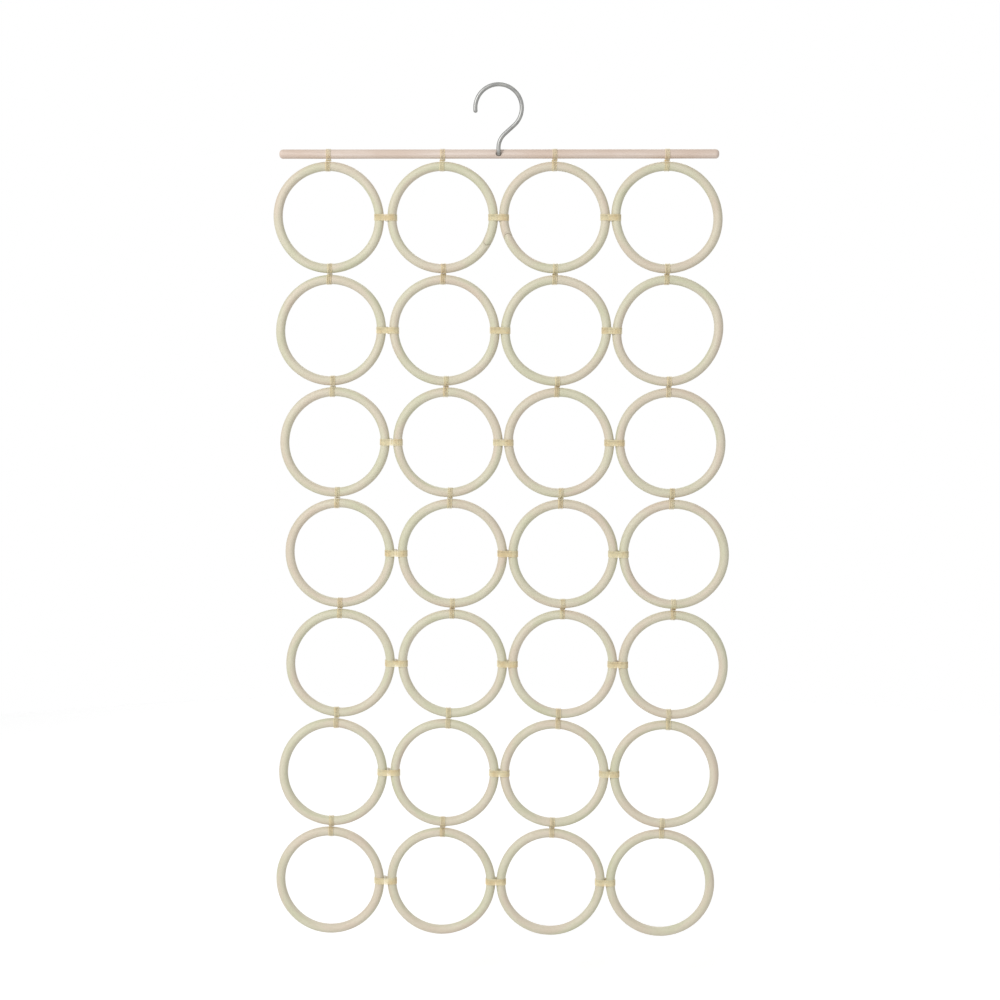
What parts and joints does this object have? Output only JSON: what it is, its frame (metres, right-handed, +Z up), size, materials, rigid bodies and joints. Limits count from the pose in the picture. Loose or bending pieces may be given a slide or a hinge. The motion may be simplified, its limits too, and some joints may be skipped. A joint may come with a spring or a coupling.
{
  "type": "scarf hanger",
  "caption": "Hanging scarf organiser: a wire hook carries a round wooden bar, and a net of cane rings tied with string hangs under it.",
  "frame": {"origin": "the seat inside the top of the hook's bend, where it rests on a rail or peg", "axes": "+Z up, +X along the bar to the right as seen from the front, the front faces -Y"},
  "size_m": [0.399, 0.0127, 0.7481],
  "materials": {
    "hook_steel": "plain galvanised wire, satin",
    "bar_wood": "bare sanded round wood, matt",
    "ring_cane": "bare peeled cane, satin, with fine lengthwise grain",
    "tie_string": "thin twisted natural fibre string"
  },
  "bodies": {
    "hook": {"hook": "hook_steel"},
    "bar": {"bar": "bar_wood", "hook_washer": "hook_steel"},
    "ties_1": {"hang_ties_1": "tie_string"},
    "row_1": {"ring_1_1": "ring_cane", "ring_1_2": "ring_cane", "ring_1_3": "ring_cane", "ring_1_4": "ring_cane", "side_ties_1": "tie_string"},
    "ties_2": {"hang_ties_2": "tie_string"},
    "row_2": {"ring_2_1": "ring_cane", "ring_2_2": "ring_cane", "ring_2_3": "ring_cane", "ring_2_4": "ring_cane", "side_ties_2": "tie_string"},
    "ties_3": {"hang_ties_3": "tie_string"},
    "row_3": {"ring_3_1": "ring_cane", "ring_3_2": "ring_cane", "ring_3_3": "ring_cane", "ring_3_4": "ring_cane", "side_ties_3": "tie_string"},
    "ties_4": {"hang_ties_4": "tie_string"},
    "row_4": {"ring_4_1": "ring_cane", "ring_4_2": "ring_cane", "ring_4_3": "ring_cane", "ring_4_4": "ring_cane", "side_ties_4": "tie_string"},
    "ties_5": {"hang_ties_5": "tie_string"},
    "row_5": {"ring_5_1": "ring_cane", "ring_5_2": "ring_cane", "ring_5_3": "ring_cane", "ring_5_4": "ring_cane", "side_ties_5": "tie_string"},
    "ties_6": {"hang_ties_6": "tie_string"},
    "row_6": {"ring_6_1": "ring_cane", "ring_6_2": "ring_cane", "ring_6_3": "ring_cane", "ring_6_4": "ring_cane", "side_ties_6": "tie_string"},
    "ties_7": {"hang_ties_7": "tie_string"},
    "row_7": {"ring_7_1": "ring_cane", "ring_7_2": "ring_cane", "ring_7_3": "ring_cane", "ring_7_4": "ring_cane", "side_ties_7": "tie_string"}
  },
  "joints": [
    {"name": "bar_tilt", "type": "hinge", "parent": "hook", "child": "bar", "pos_m": [0, 0.0059, -0.057], "axis": [0, 1, 0], "range_deg": [-45, 45]},
    {"name": "ties_1_swing", "type": "hinge", "parent": "bar", "child": "ties_1", "pos_m": [0, 0.0059, -0.057], "axis": [1, 0, 0], "range_deg": [-90, 90]},
    {"name": "row_1_fold", "type": "hinge", "parent": "ties_1", "child": "row_1", "pos_m": [0, 0.0059, -0.0675], "axis": [1, 0, 0], "range_deg": [-70, 85]},
    {"name": "ties_2_swing", "type": "hinge", "parent": "row_1", "child": "ties_2", "pos_m": [0, 0.0059, -0.1555], "axis": [-1, 0, 0], "range_deg": [-90, 90]},
    {"name": "row_2_fold", "type": "hinge", "parent": "ties_2", "child": "row_2", "pos_m": [0, 0.0059, -0.165], "axis": [-1, 0, 0], "range_deg": [-85, 85]},
    {"name": "ties_3_swing", "type": "hinge", "parent": "row_2", "child": "ties_3", "pos_m": [0, 0.0059, -0.253], "axis": [1, 0, 0], "range_deg": [-90, 90]},
    {"name": "row_3_fold", "type": "hinge", "parent": "ties_3", "child": "row_3", "pos_m": [0, 0.0059, -0.2625], "axis": [1, 0, 0], "range_deg": [-85, 85]},
    {"name": "ties_4_swing", "type": "hinge", "parent": "row_3", "child": "ties_4", "pos_m": [0, 0.0059, -0.3505], "axis": [-1, 0, 0], "range_deg": [-90, 90]},
    {"name": "row_4_fold", "type": "hinge", "parent": "ties_4", "child": "row_4", "pos_m": [0, 0.0059, -0.36], "axis": [-1, 0, 0], "range_deg": [-85, 85]},
    {"name": "ties_5_swing", "type": "hinge", "parent": "row_4", "child": "ties_5", "pos_m": [0, 0.0059, -0.448], "axis": [1, 0, 0], "range_deg": [-90, 90]},
    {"name": "row_5_fold", "type": "hinge", "parent": "ties_5", "child": "row_5", "pos_m": [0, 0.0059, -0.4575], "axis": [1, 0, 0], "range_deg": [-85, 85]},
    {"name": "ties_6_swing", "type": "hinge", "parent": "row_5", "child": "ties_6", "pos_m": [0, 0.0059, -0.5455], "axis": [-1, 0, 0], "range_deg": [-90, 90]},
    {"name": "row_6_fold", "type": "hinge", "parent": "ties_6", "child": "row_6", "pos_m": [0, 0.0059, -0.555], "axis": [-1, 0, 0], "range_deg": [-85, 85]},
    {"name": "ties_7_swing", "type": "hinge", "parent": "row_6", "child": "ties_7", "pos_m": [0, 0.0059, -0.643], "axis": [1, 0, 0], "range_deg": [-90, 90]},
    {"name": "row_7_fold", "type": "hinge", "parent": "ties_7", "child": "row_7", "pos_m": [0, 0.0059, -0.6525], "axis": [1, 0, 0], "range_deg": [-85, 85]}
  ]
}
